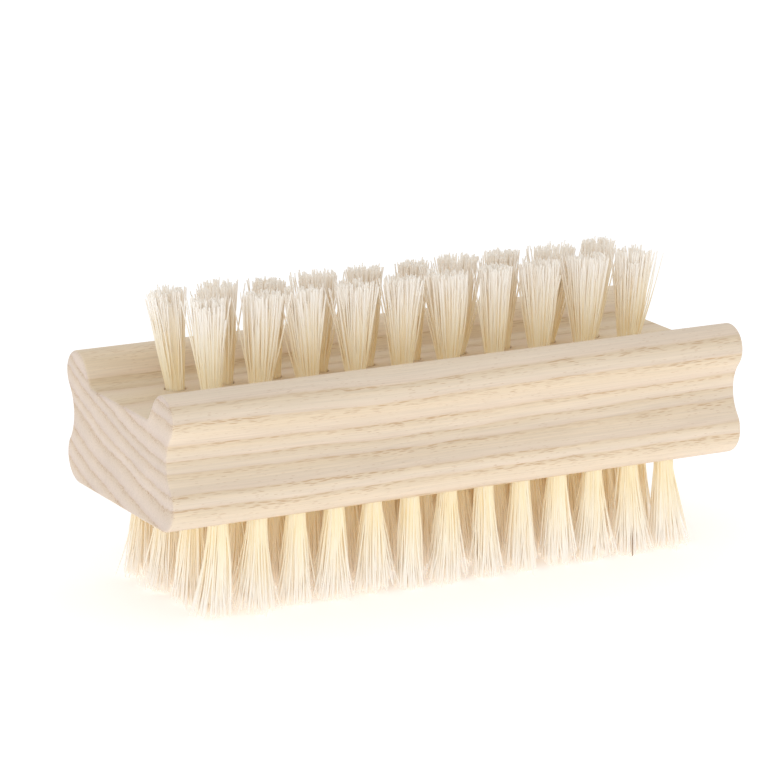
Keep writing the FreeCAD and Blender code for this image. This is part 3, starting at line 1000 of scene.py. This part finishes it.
def drawn_wire():
    """Steel with noise stretched along the wire, which runs across the brush."""
    material, tree, shader = new_material("anchor_wire")
    lines = noise(tree, node(tree, "TexCoord").outputs["Object"], WIRE_STRETCH)
    put(tree, ramp(tree, lines, WIRE_TONES), shader.inputs["Base Color"])
    put(tree, between(tree, lines, *WIDE_NOISE, *WIRE_ROUGHNESS), shader.inputs["Roughness"])
    shader.inputs["Metallic"].default_value = 1.0
    return material


wire = drawn_wire()
anchors = [name for name in NODE_NAMES if name.endswith("_anchors") or name in LOWER_ROWS]
for name in anchors:
    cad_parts[name].data.materials.clear()
    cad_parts[name].data.materials.append(wire)
print("anchor nodes with a steel finish:", len(anchors))

# %% [markdown]
# ## Floor
# The brush stands on a floor like a light table, which glows a little by itself and so lights the lower
# tufts from below. To the camera the floor glows just enough to look white, and it still takes the
# brush's shadow. Seen from below the floor is clear, so that the underside can be looked at.

# %% White floor
FLOOR_HALF = 4.0
FLOOR_COLOUR = (0.92, 0.92, 0.92, 1)
FLOOR_ROUGHNESS = 0.9
FLOOR_GLOW = 0.5
FLOOR_GLOW_SEEN = 0.28
WHITE = (1, 1, 1, 1)


def seen_straight(tree):
    """1 for a ray from the camera, a mirror or a clear piece, and 0 for one that carries light."""
    rays = node(tree, "LightPath").outputs
    either = maths(tree, "MAXIMUM", rays["Is Camera Ray"], rays["Is Glossy Ray"])
    return maths(tree, "MAXIMUM", either, rays["Is Transmission Ray"])


def white_floor():
    """White paint with a glow of its own, weaker to the camera and to mirrors, and clear from below."""
    material, tree, shader = new_material("white_floor")
    shader.inputs["Base Color"].default_value = FLOOR_COLOUR
    shader.inputs["Roughness"].default_value = FLOOR_ROUGHNESS
    shader.inputs["Specular IOR Level"].default_value = 0.0
    shader.inputs["Emission Color"].default_value = WHITE
    glow = between(tree, seen_straight(tree), 0, 1, FLOOR_GLOW, FLOOR_GLOW_SEEN)
    put(tree, glow, shader.inputs["Emission Strength"])
    clear = node(tree, "BsdfTransparent").outputs[0]
    from_below = node(tree, "NewGeometry").outputs["Backfacing"]
    either = node(tree, "MixShader", {0: from_below, 1: shader.outputs[0], 2: clear})
    output = next(made for made in tree.nodes if made.type == "OUTPUT_MATERIAL")
    tree.links.new(either.outputs[0], output.inputs["Surface"])
    return material


floor_corners = np.array([[-1, -1, 0], [1, -1, 0], [1, 1, 0], [-1, 1, 0]]) * FLOOR_HALF
floor = add_object("floor", fill_mesh("floor", floor_corners, [np.array([[0, 1, 2, 3]])]))
floor.data.materials.append(white_floor())
floor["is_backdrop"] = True
print("floor in metres:", 2 * FLOOR_HALF, "by", 2 * FLOOR_HALF)

# %% [markdown]
# ## Light
# A photograph like this is taken in soft, level light from all sides. The world gives it, a little
# stronger from above, and one large, weak lamp in front adds some shape. Light that goes from bristle
# to bristle needs many bounces, or the tufts turn grey.

# %% Room and lamp
LIGHT_LEVEL = 0.75
LIGHT_ABOVE = 0.94
LIGHT_BOUNCES = 24
LAMP_WATTS = 0.8
LAMP_SIZE = 0.7
LAMP_DISTANCE = 0.95
LAMP_AZIMUTH = math.radians(-30)
LAMP_ELEVATION = math.radians(7)
scene = bpy.context.scene


def direction(azimuth, elevation):
    """The unit vector from the brush to an eye or lamp: azimuth 0 stands in front, towards minus Y."""
    level = math.cos(elevation)
    return np.array([math.sin(azimuth) * level, -math.cos(azimuth) * level, math.sin(elevation)])


def bright_room():
    """A white world whose strength grows with height, and which looks white when seen straight."""
    world = bpy.data.worlds.new("room")
    world.use_nodes = True
    room = world.node_tree
    room.nodes.clear()
    height = node(room, "SeparateXYZ", {0: node(room, "TexCoord").outputs["Generated"]}).outputs["Z"]
    strength = between(room, height, 0, 1, LIGHT_LEVEL, LIGHT_ABOVE)
    strength = maths(room, "MAXIMUM", strength, seen_straight(room))
    sky = node(room, "Background", {"Color": WHITE, "Strength": strength})
    room.links.new(sky.outputs[0], node(room, "OutputWorld").inputs[0])
    return world


def front_lamp():
    """A large square lamp that looks at the middle of the brush."""
    lamp_data = bpy.data.lights.new("front_lamp", "AREA")
    lamp_data.energy = LAMP_WATTS
    lamp_data.size = LAMP_SIZE
    lamp = add_object("front_lamp", lamp_data)
    lamp_way = direction(LAMP_AZIMUTH, LAMP_ELEVATION)
    lamp.location = (cad_low + cad_high) / 2 + LAMP_DISTANCE * lamp_way
    lamp.rotation_mode = "QUATERNION"
    lamp.rotation_quaternion = Vector(lamp_way).to_track_quat("Z", "Y")
    return lamp


scene.world = bright_room()
lamp = front_lamp()
scene.view_settings.view_transform = "Standard"
scene.cycles.max_bounces = LIGHT_BOUNCES
scene.cycles.diffuse_bounces = LIGHT_BOUNCES
print("room light level and above:", LIGHT_LEVEL, LIGHT_ABOVE, "lamp in watts:", lamp.data.energy)

# %% [markdown]
# ## Camera
# The view was worked out from the block's straight edges in the photograph: a long lens, a little to
# the left of the front and a little above. The camera stands at that angle and distance from the middle
# of the block's underside, and it is moved sideways, not turned, until the brush sits in the frame as
# it should.

# %% Set the camera
VIEW_AZIMUTH = math.radians(-28.521)
VIEW_ELEVATION = math.radians(14.539)
VIEW_ROLL = math.radians(0.368)
VIEW_DISTANCE = 615.677 * MM
VIEW_MOVE_RIGHT = -3.554 * MM
VIEW_MOVE_UP = 12.366 * MM
SENSOR = 36.0
LENS_PER_SENSOR = 5.3630
NEAREST_SEEN = 10 * MM

back = direction(VIEW_AZIMUTH, VIEW_ELEVATION)
level_right = np.array([math.cos(VIEW_AZIMUTH), math.sin(VIEW_AZIMUTH), 0])
level_up = np.cross(back, level_right)
right = math.cos(VIEW_ROLL) * level_right + math.sin(VIEW_ROLL) * level_up
up = math.cos(VIEW_ROLL) * level_up - math.sin(VIEW_ROLL) * level_right
aim = np.array([0, 0, block_bottom])
eye = aim + VIEW_DISTANCE * back + VIEW_MOVE_RIGHT * right + VIEW_MOVE_UP * up
camera_data = bpy.data.cameras.new("camera")
camera_data.sensor_width = SENSOR
camera_data.lens = SENSOR * LENS_PER_SENSOR
camera_data.clip_start = NEAREST_SEEN
camera = add_object("camera", camera_data)
camera.matrix_world = Matrix.Translation(eye) @ Matrix(np.stack([right, up, back], 1).tolist()).to_4x4()
scene.camera = camera
print("camera at, in mm:", (eye / MM).round(1), "lens in mm:", round(camera_data.lens, 1))
